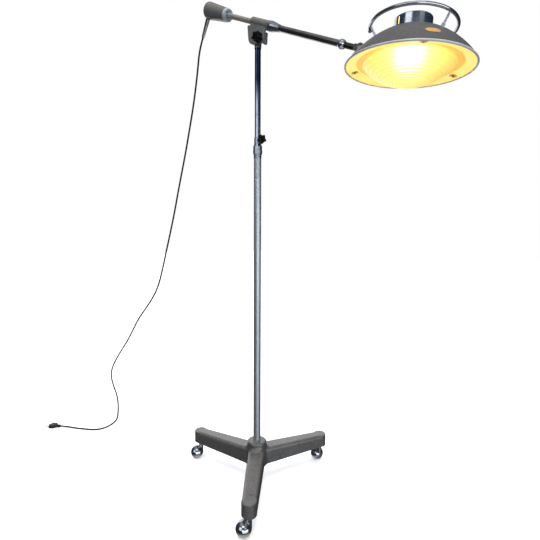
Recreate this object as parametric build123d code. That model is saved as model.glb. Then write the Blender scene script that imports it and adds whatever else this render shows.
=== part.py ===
"""Examination floor lamp on a three-legged caster base: one STEP file for each piece, in millimetres.

Frame: the origin lies on the floor under the column, +Z is up, the lamp arm reaches out along +X.
"""
import os
from math import acos, atan2, cos, degrees, hypot, pi, radians, sin, sqrt, tan

from build123d import *

os.makedirs("parts", exist_ok=True)

# Fits
fixed_gap = 0.03
running_gap = 0.05
parting_gap = 0.4

# Base casting
leg_angles = (-54.7, 65.3, 185.3)
caster_circle = 267.0
hub_top_z = 147.0
hub_top_radius = 34.0
hub_rim_round = 6.0
hub_foot_radius = 39.0
base_bottom_z = 66.0
leg_root_offset = 20.0
leg_root_width = 58.0
leg_root_top_z = 122.0
leg_tip_width = 45.0
boss_radius = 23.0
boss_top_z = 109.0
boss_rim_round = 3.0
leg_edge_round = 10.0
leg_hub_round = 14.0
leg_wall = 9.0
pocket_start = 48.0
pocket_end = 236.0

# Casters
stem_radius = 5.0
stem_height = 34.0
stem_collar_radius = 13.5
stem_collar_bottom_z = 58.0
stem_neck_radius = 8.5
ball_radius = 24.0
hood_wall = 2.8
caster_trail = 16.0
caster_trail_angles = (223.0, 155.0, 245.0)
wheel_axis_dip = 50.0
wheel_split = 0.5
wheel_radius = 23.3
tyre_inner_radius = 19.5
tyre_low_latitude = 22.0
tyre_high_latitude = 72.0
caster_hub_radius = 7.0
axle_radius = 3.0
axle_reach = 17.0

# Column
outer_tube_radius = 12.5
outer_tube_wall = 2.0
outer_tube_bottom_z = 56.0
outer_tube_top_z = 1150.0
hub_nut_height = 10.0
hub_nut_flats = 36.0
ferrule_ring_radius = 13.3
ferrule_ring_bottom_z = 1123.5
collar_bottom_z = 1135.5
collar_radius = 15.0
collar_band_radius = 15.8
collar_band_bottom_z = 1140.7
collar_band_top_z = 1148.2
collar_cone_bottom_z = 1160.9
collar_cone_top_z = 1170.6
collar_neck_radius = 11.6
collar_top_z = 1190.4
bush_top_z = 1164.0

# Height clamp
height_knob_angle = -20.0
height_knob_z = 1181.0
height_knob_radius = 15.5
height_knob_lobes = 5
height_knob_thickness = 12.0
height_knob_start = 21.0
clamp_boss_radius = 6.5
clamp_boss_reach = 18.0
height_screw_radius = 3.0

# Mast
mast_radius = 10.0
mast_wall = 1.5
mast_bottom_z = 700.0
mast_top_drop = 81.0
mast_plug_length = 14.0
mast_plug_spigot = 18.0

# Arm
arm_height = 1551.0
mast_top_z = arm_height - mast_top_drop
arm_dip = 26.3
pivot_along = 20.4
pivot_drop = 41.2

# Pivot head
pivot_spigot_length = 40.0
pivot_collar_radius = 11.0
pivot_collar_height = 6.0
eye_radius = 21.0
eye_front_y = -6.5
eye_back_y = 8.0
pivot_bolt_radius = 5.0
pivot_bolt_head_radius = 7.0
pivot_bolt_head_height = 2.4
pivot_nut_flats = 17.0
pivot_nut_height = 7.0

# Clamp casting
sleeve_radius = 14.8
sleeve_start = -22.0
sleeve_end = 46.0
cheek_radius = 25.5
cheek_front_y = -18.0
cheek_back_y = -7.0
cheek_left = -18.0
cheek_right = 52.0
cheek_top_w = -16.0
cheek_corner = 4.0
web_front_y = -13.0
web_top_w = -5.0
flange_end = 58.0
flange_radius = 15.0
wall_back_y = 5.0
wall_inner = 43.5
wall_shelf_back_y = -11.5
wall_tip_along = 60.0
wall_tip_w = -50.0
wall_step_w = -46.0
wall_foot_along = 54.0
nut_clearance = 0.6
set_screw_places = (7.0, 43.0)
set_screw_w = -8.5
set_screw_radius = 2.5
set_screw_tip_y = -8.1
set_screw_proud = 0.8

# Tilt knob
tilt_knob_along = 49.0
tilt_knob_w = -45.0
tilt_knob_radius = 16.4
tilt_knob_lobes = 5
tilt_knob_thickness = 21.0
tilt_knob_hub = 4.0
tilt_stud_radius = 3.0
tilt_stud_depth = 5.8

# Arm rod, counterweight and coupling
rod_radius = 8.5
rod_bore_radius = 4.0
rod_start = -250.0
spigot_radius = 7.95
spigot_end = 105.0
weight_start = -254.0
weight_end = -156.0
weight_rear_radius = 28.5
weight_front_radius = 21.5
weight_round = 7.0
weight_ring_end = -146.0
weight_ring_rear_radius = 21.0
weight_ring_front_radius = 19.8
weight_ring_lip = 5.4
weight_ring_recess = 3.0
weight_screw_radius = 2.2
weight_screw_offset = 11.4
weight_screw_angle = 125.0
nut_start = 58.4
nut_end = 98.0
nut_shoulder = 67.0
nut_large_radius = 15.8
nut_small_radius = 10.6

# Front arm
front_tube_radius = 9.5
front_tube_start = 59.0
front_tube_end = 338.0
ball_ferrule_radius = 13.5
ball_ferrule_centre = 340.5
ball_ferrule_half = 13.0
end_rod_radius = 8.0
knuckle_along = 405.0
fork_block_start = 386.0
fork_radius = 13.0
fork_half_gap = 4.3
fork_half_width = 10.3
fork_slot_start = 391.0
fork_pin_radius = 3.0
fork_pin_head_radius = 5.5
fork_pin_head_height = 3.5
fork_nut_flats = 10.0
fork_nut_height = 5.0

# Head frame, taken from the knuckle
head_nod = 4.5
bracket_reach = 136.7
bracket_rise = 69.0

# Shade
rim_radius = 159.0
dome_mid_radius = 117.0
dome_mid_height = 45.0
dome_top_radius = 48.5
dome_top_height = 85.0
shade_wall = 1.6
shade_edge_height = 2.0
shade_opening_radius = 38.0
rim_bead_radius = 2.5
rim_bead_inset = 1.8
rim_bead_centre = rim_radius - rim_bead_inset
rim_bead_height = -0.2

# Lens and its ring
bezel_edge_gap = 0.1
bezel_outer_radius = rim_bead_centre - rim_bead_radius - bezel_edge_gap
bezel_outer_height = 0.4
bezel_width = 24.6
bezel_inner_radius = bezel_outer_radius - bezel_width
bezel_inner_height = 5.6
bezel_thickness = 1.2
lens_seat = 6.0
lens_shoulder = 13.0
lens_edge_radius = bezel_inner_radius + lens_seat
lens_edge_thickness = 4.0
lens_apex_height = -43.0
lens_thickness = 4.5
lens_rib_count = 13
lens_rib_depth = 1.3
clip_angles = (56.0, 188.0, 302.0)
clip_edge_inset = 7.0
clip_length = 17.0
clip_outer_radius = bezel_outer_radius - clip_edge_inset
clip_inner_radius = clip_outer_radius - clip_length
clip_width = 15.0
clip_thickness = 1.2
clip_screw_radius = 2.4
clip_screw_height = 1.6

# Reflector, lampholder and bulb
reflector_edge_inset = 2.0
reflector_edge_radius = lens_edge_radius - reflector_edge_inset
reflector_flange_width = 7.0
reflector_neck_radius = 22.0
reflector_neck_height = 70.0
reflector_wall = 1.0
reflector_belly = 14.0
holder_radius = 18.0
holder_bottom_height = 64.0
holder_top_height = 96.0
holder_bore_radius = 13.4
holder_bore_depth = 24.0
holder_stem_radius = 6.0
bulb_radius = 30.0
bulb_centre_height = 30.0
bulb_cap_radius = 13.2
bulb_neck_height = 62.0
bulb_wall = 1.2
bulb_contact_hole = 3.0

# Vent cap
cap_radius = 46.0
cap_rise = 27.0
cap_top_height = dome_top_height + cap_rise
cap_wall = 1.3
cap_edge_round = 2.0
cap_slot_angles = (243.0, 3.0, 123.0)
cap_slot_width = 3.2
cap_slot_foot = 5.0
cap_slot_head = 4.0
cap_slot_low = dome_top_height + cap_slot_foot
cap_slot_high = cap_top_height - cap_slot_head

# Ring handle
ring_radius = 104.0
ring_rise = 7.5
ring_height = dome_top_height + ring_rise
ring_roll = -3.8
ring_tube_radius = 4.25
ring_gap_half_angle = 18.0
ring_ball_radius = 5.5
post_angles = (97.0, 213.0, 340.0)
post_sink = 6.0
post_foot_radius = 86.0
post_radius = 2.75
post_foot_collar_radius = 4.5
post_foot_collar_height = 7.0

# Head bracket
tongue_half_width = 4.0
tongue_height = 17.0
tongue_line_dip = 21.8
tongue_length = 52.0
saddle_radius = 17.0
saddle_thickness = 4.0
saddle_place = 106.0
bracket_screw_radius = 4.0
bracket_screw_height = 2.4
bracket_screw_spread = 11.0

# Oval plate on the shade
badge_angle = 310.0
badge_place = 133.0
badge_half_length = 17.0
badge_half_height = 10.5
badge_thickness = 0.8

# Mains lead
cord_radius = 3.25
relief_along = -246.0
relief_stub_radius = 5.0
relief_seat = 0.2
relief_root_radius = 7.5
relief_tip_radius = 5.0
relief_length = 60.0
relief_stub_length = 9.0
cord_first_run = 44.0
lay_arm_height = 1551.0
floor_lift = 0.1
plug_length = 44.0
plug_width = 35.0
plug_height = 14.0
plug_tail_width = 13.0
plug_tail_height = 11.0
plug_tail_length = 12.0
plug_pin_radius = 2.0
plug_pin_length = 19.0
plug_pin_spacing = 18.6
plug_pin_root = 8.0
plug_pin_root_radius = 1.6
plug_pin_chamfer = 0.6


def export(shape, node):
    """Write one piece to its own file."""
    export_step(shape, "parts/" + node + ".step")


def turned(points):
    """Revolve a closed outline of (radius, height) points about Z."""
    outline = Polyline(*[(radius, 0, height) for radius, height in points], close=True)
    return revolve(make_face(outline), axis=Axis.Z)


def turned_edges(edges):
    """Revolve an outline made of edges in the XZ plane about Z."""
    return revolve(make_face(edges), axis=Axis.Z)


def bar_x(radius, start, end, y=0.0, z=0.0):
    """Round bar along X."""
    return Pos((start + end) / 2, y, z) * Rot(0, 90, 0) * Cylinder(radius, end - start)


def bar_y(radius, start, end, x=0.0, z=0.0):
    """Round bar along Y."""
    return Pos(x, (start + end) / 2, z) * Rot(90, 0, 0) * Cylinder(radius, end - start)


def bar_z(radius, start, end, x=0.0, y=0.0):
    """Round bar along Z."""
    return Pos(x, y, (start + end) / 2) * Cylinder(radius, end - start)


def block(x0, x1, y0, y1, z0, z1):
    """Box between two corners."""
    centre = Pos((x0 + x1) / 2, (y0 + y1) / 2, (z0 + z1) / 2)
    return centre * Box(x1 - x0, y1 - y0, z1 - z0)


def star_knob(radius, lobes, thickness):
    """Lobed hand knob standing on the XY plane."""
    lobe_radius = 0.30 * radius
    plan = Circle(0.74 * radius)
    plan += PolarLocations(radius - lobe_radius, lobes) * Circle(lobe_radius)
    body = extrude(plan, thickness)
    rim = body.faces().sort_by(Axis.Z)[-1].edges()
    body = fillet(rim, 0.16 * radius)
    foot = body.faces().sort_by(Axis.Z)[0].edges()
    return chamfer(foot, 0.06 * radius)


def circle_through(first, middle, last):
    """Centre and radius of the circle through three (radius, height) points."""
    ax, ay = first
    bx, by = middle
    cx, cy = last
    d = 2 * (ax * (by - cy) + bx * (cy - ay) + cx * (ay - by))
    a2, b2, c2 = ax * ax + ay * ay, bx * bx + by * by, cx * cx + cy * cy
    ux = (a2 * (by - cy) + b2 * (cy - ay) + c2 * (ay - by)) / d
    uy = (a2 * (cx - bx) + b2 * (ax - cx) + c2 * (bx - ax)) / d
    return (ux, uy), hypot(ax - ux, ay - uy)


# Base casting: three legs lofted from the hub to the caster bosses, hollow underneath
hub_bore_radius = outer_tube_radius + fixed_gap
hub_waist_z = base_bottom_z + 0.62 * (hub_top_z - base_bottom_z)
rim_share = 1 - sqrt(0.5)
hub_outline = [
    Line((hub_bore_radius, 0, base_bottom_z), (hub_foot_radius, 0, base_bottom_z)),
    Spline(
        (hub_foot_radius, 0, base_bottom_z),
        (hub_top_radius + 1.5, 0, hub_waist_z),
        (hub_top_radius, 0, hub_top_z - hub_rim_round),
        tangents=((0, 0, 1), (0, 0, 1)),
    ),
    ThreePointArc(
        (hub_top_radius, 0, hub_top_z - hub_rim_round),
        (hub_top_radius - rim_share * hub_rim_round, 0, hub_top_z - rim_share * hub_rim_round),
        (hub_top_radius - hub_rim_round, 0, hub_top_z),
    ),
    Line((hub_top_radius - hub_rim_round, 0, hub_top_z), (hub_bore_radius, 0, hub_top_z)),
    Line((hub_bore_radius, 0, hub_top_z), (hub_bore_radius, 0, base_bottom_z)),
]
hub = turned_edges(hub_outline)


def leg_section(place, width, top_z, inset):
    """Upright section across a leg, rounded along its top edges."""
    section_plane = Plane(origin=(place, 0, base_bottom_z), x_dir=(0, 1, 0), z_dir=(1, 0, 0))
    height = top_z - base_bottom_z - inset
    half = width / 2 - inset
    corner = max(leg_edge_round - inset, 1.0)
    flat_half = half - corner
    shoulder = height - corner
    with BuildSketch(section_plane) as section:
        with BuildLine():
            Line((-half, 0), (half, 0))
            Line((half, 0), (half, shoulder))
            RadiusArc((half, shoulder), (flat_half, height), -corner)
            Line((flat_half, height), (-flat_half, height))
            RadiusArc((-flat_half, height), (-half, shoulder), -corner)
            Line((-half, shoulder), (-half, 0))
        make_face()
    return section.sketch


def leg_taper(place):
    """Width and top height of a leg at a distance from the column."""
    share = (place - leg_root_offset) / (caster_circle - leg_root_offset)
    width = leg_root_width + share * (leg_tip_width - leg_root_width)
    top_z = leg_root_top_z + share * (boss_top_z - leg_root_top_z)
    return width, top_z


leg_root = leg_section(leg_root_offset, *leg_taper(leg_root_offset), 0.0)
leg_tip = leg_section(caster_circle, *leg_taper(caster_circle), 0.0)
leg = loft([leg_root, leg_tip])
boss = bar_z(boss_radius, base_bottom_z, boss_top_z)
boss = fillet(boss.edges().sort_by(Axis.Z)[-1], boss_rim_round)
leg += Pos(caster_circle, 0, 0) * boss
pocket_root = leg_section(pocket_start, *leg_taper(pocket_start), leg_wall)
pocket_tip = leg_section(pocket_end, *leg_taper(pocket_end), leg_wall)
pocket = loft([pocket_root, pocket_tip])
socket_top_z = base_bottom_z + stem_height
stem_socket = bar_z(stem_radius + running_gap, base_bottom_z - 1, socket_top_z + parting_gap, caster_circle)
base_casting = hub
for angle in leg_angles:
    base_casting += Rot(0, 0, angle) * leg


def meets_hub(edge):
    """Whether an edge is one of the seams between the hub's side and a leg."""
    reach = hypot(edge.center().X, edge.center().Y)
    near_hub = hub_top_radius - 1 < reach < hub_foot_radius + 1
    return edge.geom_type == GeomType.BSPLINE and near_hub and edge.length < hub_top_z - base_bottom_z - 20


base_casting = fillet(base_casting.edges().filter_by(meets_hub), leg_hub_round)
for angle in leg_angles:
    base_casting -= Rot(0, 0, angle) * pocket
    base_casting -= Rot(0, 0, angle) * stem_socket
base_casting -= bar_z(hub_bore_radius, base_bottom_z - 1, hub_top_z + 1)
export(base_casting, "base_casting")

# Ring nut that pulls the tube into the hub
hub_nut = extrude(RegularPolygon(hub_nut_flats / 2, 6, major_radius=False), hub_nut_height)
hub_nut = Pos(0, 0, base_bottom_z - hub_nut_height) * hub_nut
hub_nut -= bar_z(outer_tube_radius + fixed_gap, base_bottom_z - hub_nut_height - 1, base_bottom_z + 1)
export(hub_nut, "hub_nut")

# Casters: everything but the stem is turned about the slanted wheel axis
ball_frame = Pos(-caster_trail, 0, ball_radius) * Rot(-90 - wheel_axis_dip, 0, 0)


def ball_band(inner, outer, low_latitude, high_latitude):
    """Ring between two balls and two latitudes, turned about Z."""
    low, high = radians(low_latitude), radians(high_latitude)
    middle = (low + high) / 2

    def spot(radius, latitude):
        return (radius * cos(latitude), 0, radius * sin(latitude))

    edges = [
        Line(spot(inner, low), spot(outer, low)),
        ThreePointArc(spot(outer, low), spot(outer, middle), spot(outer, high)),
        Line(spot(outer, high), spot(inner, high)),
        ThreePointArc(spot(inner, high), spot(inner, middle), spot(inner, low)),
    ]
    return turned_edges(edges)


hood = Sphere(ball_radius) - Sphere(ball_radius - hood_wall)
hood_reach = ball_radius + 1
hood -= block(-hood_reach, hood_reach, -hood_reach, hood_reach, -wheel_split, hood_reach)
hood_hub_start = -(ball_radius - hood_wall / 2)
hood += bar_z(caster_hub_radius, hood_hub_start, -wheel_split)
hood_hole_depth = -(ball_radius - hood_wall)
hood -= bar_z(axle_radius + fixed_gap, hood_hole_depth, 1)
axle = bar_z(axle_radius, hood_hole_depth + 0.2, axle_reach)
wheel = Sphere(wheel_radius)
wheel -= block(-ball_radius, ball_radius, -ball_radius, ball_radius, -ball_radius, wheel_split)
wheel -= ball_band(tyre_inner_radius, ball_radius + 2, tyre_low_latitude, tyre_high_latitude)
wheel -= bar_z(axle_radius + running_gap, 0, axle_reach + parting_gap)
tyre = ball_band(tyre_inner_radius + fixed_gap, ball_radius, tyre_low_latitude, tyre_high_latitude)

stem = bar_z(stem_radius, stem_collar_bottom_z, socket_top_z)
stem_collar = bar_z(stem_collar_radius, stem_collar_bottom_z, base_bottom_z - parting_gap)
stem_collar = chamfer(stem_collar.edges(), 1.2)
stem += stem_collar
stem += bar_z(stem_neck_radius, ball_radius, stem_collar_bottom_z + 2)
stem -= Pos(-caster_trail, 0, ball_radius) * Sphere(ball_radius + fixed_gap)

for index in range(len(leg_angles)):
    leg_angle = leg_angles[index]
    heading = caster_trail_angles[index] - 180.0
    number = str(index + 1)
    place = Pos(caster_circle * cos(radians(leg_angle)), caster_circle * sin(radians(leg_angle)), 0)
    caster_frame = place * Rot(0, 0, heading)
    export(caster_frame * stem, "caster_stem_" + number)
    export(caster_frame * ball_frame * hood, "caster_hood_" + number)
    export(caster_frame * ball_frame * axle, "caster_axle_" + number)
    export(caster_frame * ball_frame * wheel, "caster_wheel_" + number)
    export(caster_frame * ball_frame * tyre, "caster_tyre_" + number)
    hub_spot = (caster_frame * Pos(-caster_trail, 0, ball_radius)).position
    dip = radians(wheel_axis_dip)
    turn = radians(heading)
    wheel_axis = (-sin(turn) * cos(dip), cos(turn) * cos(dip), -sin(dip))
    print("caster", number, "ball", [round(v, 3) for v in hub_spot])
    print("caster", number, "axis", [round(v, 5) for v in wheel_axis])

# Column
outer_tube_bore = outer_tube_radius - outer_tube_wall
outer_tube = bar_z(outer_tube_radius, outer_tube_bottom_z, outer_tube_top_z)
outer_tube -= bar_z(outer_tube_bore, outer_tube_bottom_z - 1, outer_tube_top_z + 1)
export(outer_tube, "outer_tube")

ferrule_height = collar_bottom_z - ferrule_ring_bottom_z
bead = ferrule_height / 2
bead_sink = 0.5
ferrule_bore = outer_tube_radius + fixed_gap
tube_ferrule = turned([
    (ferrule_bore, ferrule_ring_bottom_z),
    (ferrule_ring_radius - bead_sink, ferrule_ring_bottom_z),
    (ferrule_ring_radius, ferrule_ring_bottom_z + 0.25 * bead),
    (ferrule_ring_radius, ferrule_ring_bottom_z + 0.75 * bead),
    (ferrule_ring_radius - bead_sink, ferrule_ring_bottom_z + bead),
    (ferrule_ring_radius, ferrule_ring_bottom_z + 1.25 * bead),
    (ferrule_ring_radius, ferrule_ring_bottom_z + 1.75 * bead),
    (ferrule_ring_radius - bead_sink, collar_bottom_z),
    (ferrule_bore, collar_bottom_z),
])
export(tube_ferrule, "tube_ferrule")

mast_clear_radius = mast_radius + 0.3
collar = turned([
    (outer_tube_radius + fixed_gap, collar_bottom_z),
    (collar_radius - 0.8, collar_bottom_z),
    (collar_radius, collar_bottom_z + 1.0),
    (collar_radius, collar_band_bottom_z - 0.8),
    (collar_band_radius, collar_band_bottom_z),
    (collar_band_radius, collar_band_top_z),
    (collar_radius, collar_band_top_z + 0.8),
    (collar_radius, collar_cone_bottom_z),
    (collar_neck_radius, collar_cone_top_z),
    (collar_neck_radius, collar_top_z - 0.6),
    (collar_neck_radius - 0.6, collar_top_z),
    (mast_clear_radius, collar_top_z),
    (mast_clear_radius, bush_top_z),
    (outer_tube_radius + fixed_gap, bush_top_z),
])
knob_turn = Pos(0, 0, height_knob_z) * Rot(0, 0, height_knob_angle)
collar += knob_turn * bar_x(clamp_boss_radius, mast_radius, clamp_boss_reach)
collar -= bar_z(mast_clear_radius, bush_top_z - 1, collar_top_z + 1)
collar -= knob_turn * bar_x(height_screw_radius + running_gap, 0, clamp_boss_reach + 1)
export(collar, "tube_collar")

guide_bush = bar_z(outer_tube_radius, outer_tube_top_z, bush_top_z)
guide_bush -= bar_z(mast_radius + running_gap, outer_tube_top_z - 1, bush_top_z + 1)
export(guide_bush, "guide_bush")

# Height clamp: the screw presses on the mast, the knob is moulded on the screw
height_knob_hub_start = clamp_boss_reach + parting_gap
screw_knob_depth = 0.6 * height_knob_thickness
screw_end = height_knob_start + screw_knob_depth
height_screw = bar_x(height_screw_radius, mast_clear_radius, screw_end)
export(knob_turn * height_screw, "height_screw")
height_knob = Pos(height_knob_start, 0, 0) * Rot(0, 90, 0) * star_knob(
    height_knob_radius, height_knob_lobes, height_knob_thickness)
height_knob += bar_x(0.5 * height_knob_radius, height_knob_hub_start, height_knob_start + 1)
height_knob -= bar_x(height_screw_radius + fixed_gap, 0, screw_end)
export(knob_turn * height_knob, "height_knob")

# Mast
mast_bore = mast_radius - mast_wall
inner_tube = bar_z(mast_radius, mast_bottom_z, mast_top_z)
inner_tube -= bar_z(mast_bore, mast_bottom_z - 1, mast_top_z + 1)
export(inner_tube, "inner_tube")

mast_plug = bar_z(outer_tube_bore - running_gap, mast_bottom_z - mast_plug_length, mast_bottom_z)
mast_plug += bar_z(mast_bore - fixed_gap, mast_bottom_z - 1, mast_bottom_z + mast_plug_spigot)
export(mast_plug, "mast_plug")

# Frames on the arm
arm_frame = Pos(0, 0, arm_height) * Rot(0, arm_dip, 0)
pivot_w = -pivot_drop


def arm_point(along, across, up):
    """World place of a point given along, across and square to the arm."""
    return (arm_frame * Pos(along, across, up)).position


pivot_spot = arm_point(pivot_along, 0, pivot_w)
pivot_x, pivot_z = pivot_spot.X, pivot_spot.Z

# Pivot head: a spigot that turns in the mast, and the eye of the tilt joint
pivot_collar_top_z = mast_top_z + parting_gap + pivot_collar_height
pivot_eye = bar_z(mast_bore - running_gap, mast_top_z - pivot_spigot_length, mast_top_z + 1)
pivot_eye += bar_z(pivot_collar_radius, mast_top_z + parting_gap, pivot_collar_top_z)
pivot_eye += bar_y(eye_radius, eye_front_y, eye_back_y, pivot_x, pivot_z)
neck_half = pivot_collar_radius - 2.5
pivot_eye += block(-neck_half, neck_half, eye_front_y, eye_back_y, pivot_collar_top_z - 1, pivot_z)
pivot_eye -= bar_y(pivot_bolt_radius + running_gap, eye_front_y - 1, eye_back_y + 1, pivot_x, pivot_z)
export(pivot_eye, "pivot_eye")

# Clamp casting
arm_clamp = bar_x(sleeve_radius, sleeve_start, sleeve_end)
arm_clamp += bar_x(flange_radius, sleeve_end - 1, flange_end)
cheek_plane = Plane(origin=(0, cheek_front_y, 0), x_dir=(1, 0, 0), z_dir=(0, -1, 0))
corner_w = cheek_top_w - cheek_corner
cheek_edges = [
    (Pos(pivot_along, pivot_w) * Circle(cheek_radius)).edges()[0],
    (Pos(cheek_left, corner_w) * Circle(cheek_corner)).edges()[0],
    (Pos(cheek_right - cheek_corner, corner_w) * Circle(cheek_corner)).edges()[0],
]
cheek_plan = make_hull(cheek_edges)
cheek = extrude(cheek_plane * cheek_plan, cheek_front_y - cheek_back_y)
arm_clamp += cheek
arm_clamp += block(cheek_left, cheek_right, web_front_y, cheek_back_y, corner_w, web_top_w)
shelf_edges = cheek_edges + [(Pos(wall_tip_along, wall_tip_w) * Circle(cheek_corner)).edges()[0]]
shelf = extrude(cheek_plane * make_hull(shelf_edges), cheek_front_y - wall_shelf_back_y)
shelf = fillet(shelf.faces().sort_by(Axis.Y)[0].edges(), 1.5)
arm_clamp += shelf
wall_plan = Polyline(
    (wall_inner, corner_w), (cheek_right, corner_w),
    (wall_tip_along + cheek_corner, wall_tip_w), (wall_tip_along, wall_tip_w - cheek_corner),
    (wall_foot_along, wall_tip_w - cheek_corner), (wall_inner, wall_step_w), close=True)
wall_seat = 2.0
wall_plane = Plane(origin=(0, cheek_front_y + wall_seat, 0), x_dir=(1, 0, 0), z_dir=(0, -1, 0))
wall = extrude(wall_plane * make_face(wall_plan), cheek_front_y + wall_seat - wall_back_y)
arm_clamp += wall
arm_clamp -= bar_x(nut_large_radius + nut_clearance, flange_end, nut_end)
arm_clamp -= bar_x(rod_radius + fixed_gap, sleeve_start - 1, flange_end + 1)
arm_clamp -= bar_y(pivot_bolt_radius + fixed_gap, cheek_front_y - 1, cheek_back_y + 1, pivot_along, pivot_w)
set_screws = []
for place in set_screw_places:
    hole_radius = set_screw_radius + fixed_gap
    screw_head_y = web_front_y - set_screw_proud
    arm_clamp -= bar_y(hole_radius, screw_head_y - 1, set_screw_tip_y + 2, place, set_screw_w)
    screw = bar_y(set_screw_radius, screw_head_y, set_screw_tip_y, place, set_screw_w)
    slot_half = 0.4
    slot_depth = 1.0
    slot_floor = screw_head_y + slot_depth
    screw -= block(
        place - set_screw_radius, place + set_screw_radius,
        screw_head_y - 1, slot_floor,
        set_screw_w - slot_half, set_screw_w + slot_half)
    set_screws.append(arm_frame * screw)
stud_tip_y = cheek_front_y + tilt_stud_depth
stud_bore = tilt_stud_radius + running_gap
arm_clamp -= bar_y(stud_bore, cheek_front_y - 1, stud_tip_y + parting_gap, tilt_knob_along, tilt_knob_w)
export(arm_frame * arm_clamp, "arm_clamp")
export(Compound(children=set_screws), "set_screws")

# Tilt pivot: the bolt sits fast in the cheek, turns in the eye and carries a nut
nut_face_y = eye_back_y + parting_gap
bolt_end_y = nut_face_y + pivot_nut_height + 1.5
bolt_head_y = cheek_front_y - pivot_bolt_head_height
pivot_bolt = bar_y(pivot_bolt_radius, cheek_front_y - 1, bolt_end_y, pivot_along, pivot_w)
bolt_head = bar_y(pivot_bolt_head_radius, bolt_head_y, cheek_front_y, pivot_along, pivot_w)
pivot_bolt += fillet(bolt_head.edges().sort_by(Axis.Y)[0], 1.0)
export(arm_frame * pivot_bolt, "pivot_bolt")
pivot_nut = extrude(RegularPolygon(pivot_nut_flats / 2, 6, major_radius=False), pivot_nut_height)
pivot_nut -= bar_z(pivot_bolt_radius + fixed_gap, -1, pivot_nut_height + 1)
pivot_nut = Pos(pivot_along, nut_face_y, pivot_w) * Rot(-90, 0, 0) * pivot_nut
export(arm_frame * pivot_nut, "pivot_nut")

# Tilt clamp screw: the knob is moulded on its stud
knob_face_y = cheek_front_y - parting_gap
tilt_knob = Pos(0, 0, tilt_knob_hub) * star_knob(tilt_knob_radius, tilt_knob_lobes, tilt_knob_thickness)
tilt_knob += bar_z(0.55 * tilt_knob_radius, 0, tilt_knob_hub + 1)
tilt_knob = Pos(tilt_knob_along, knob_face_y, tilt_knob_w) * Rot(90, 0, 0) * tilt_knob
stud_root_y = knob_face_y - tilt_knob_hub
tilt_knob += bar_y(tilt_stud_radius, stud_root_y, stud_tip_y, tilt_knob_along, tilt_knob_w)
export(arm_frame * tilt_knob, "tilt_knob")

# Arm rod with the spigot that carries the front tube
rear_rod = bar_x(rod_radius, rod_start, flange_end)
rear_rod += bar_x(spigot_radius, flange_end - 1, spigot_end)
rear_rod -= bar_x(rod_bore_radius, rod_start - 1, spigot_end + 1)
export(arm_frame * rear_rod, "rear_rod")

# Counterweight, turned about the arm
lie_along = Rot(0, 90, 0)
weight_bore = rod_radius + fixed_gap
weight_slope = (weight_front_radius - weight_rear_radius) / (weight_end - weight_start)


def weight_radius(along):
    """Outer radius of the counterweight at a place along the arm."""
    return weight_rear_radius + weight_slope * (along - weight_start)


counterweight = turned([
    (0, weight_start),
    (weight_rear_radius, weight_start),
    (weight_front_radius, weight_end),
    (weight_bore, weight_end),
    (weight_bore, rod_start),
    (0, rod_start),
])
rear_rim = counterweight.edges().filter_by(GeomType.CIRCLE).group_by(Axis.Z)[0]
counterweight = fillet(rear_rim, weight_round)
counterweight = lie_along * counterweight
relief_root_w = -weight_radius(relief_along) - relief_seat
counterweight -= bar_z(relief_stub_radius + fixed_gap, relief_root_w - 3, -rod_radius, relief_along)
export(arm_frame * counterweight, "counterweight")

recess_floor = weight_ring_end - weight_ring_recess
counterweight_ring = turned([
    (weight_bore, weight_end),
    (weight_ring_rear_radius, weight_end),
    (weight_ring_front_radius, weight_ring_end),
    (weight_ring_front_radius - weight_ring_lip, weight_ring_end),
    (weight_ring_front_radius - weight_ring_lip, recess_floor),
    (weight_bore, recess_floor),
])
counterweight_ring = lie_along * counterweight_ring
screw_y = weight_screw_offset * cos(radians(weight_screw_angle))
screw_w = weight_screw_offset * sin(radians(weight_screw_angle))
screw_hole = weight_screw_radius + fixed_gap
counterweight_ring -= bar_x(screw_hole, weight_end - 1, weight_ring_end, screw_y, screw_w)
export(arm_frame * counterweight_ring, "counterweight_ring")
counterweight_screw = bar_x(weight_screw_radius, weight_end, recess_floor + 0.8, screw_y, screw_w)
export(arm_frame * counterweight_screw, "counterweight_screw")

# Coupling nut around the root of the front tube
nut_bore = front_tube_radius + running_gap
coupling_nut = turned([
    (nut_bore, nut_start),
    (nut_large_radius - 1.0, nut_start),
    (nut_large_radius, nut_start + 1.0),
    (nut_large_radius, nut_shoulder),
    (nut_small_radius, nut_end),
    (nut_bore, nut_end),
])
export(arm_frame * lie_along * coupling_nut, "coupling_nut")

# Front arm
front_tube = bar_x(front_tube_radius, front_tube_start, front_tube_end)
front_tube -= bar_x(spigot_radius + running_gap, front_tube_start - 1, front_tube_end + 1)
export(arm_frame * front_tube, "front_tube")

ball_ferrule = Pos(ball_ferrule_centre, 0, 0) * Sphere(ball_ferrule_radius)
ball_ferrule_left = ball_ferrule_centre - ball_ferrule_half
ball_ferrule_right = ball_ferrule_centre + ball_ferrule_half
ball_reach = ball_ferrule_radius + 2
ball_ferrule &= block(
    ball_ferrule_left, ball_ferrule_right, -ball_reach, ball_reach, -ball_reach, ball_reach)
ball_ferrule -= bar_x(front_tube_radius + fixed_gap, ball_ferrule_left - 1, front_tube_end)
ball_ferrule -= bar_x(end_rod_radius + fixed_gap, front_tube_end - 1, ball_ferrule_right + 1)
export(arm_frame * ball_ferrule, "ball_ferrule")

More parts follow.
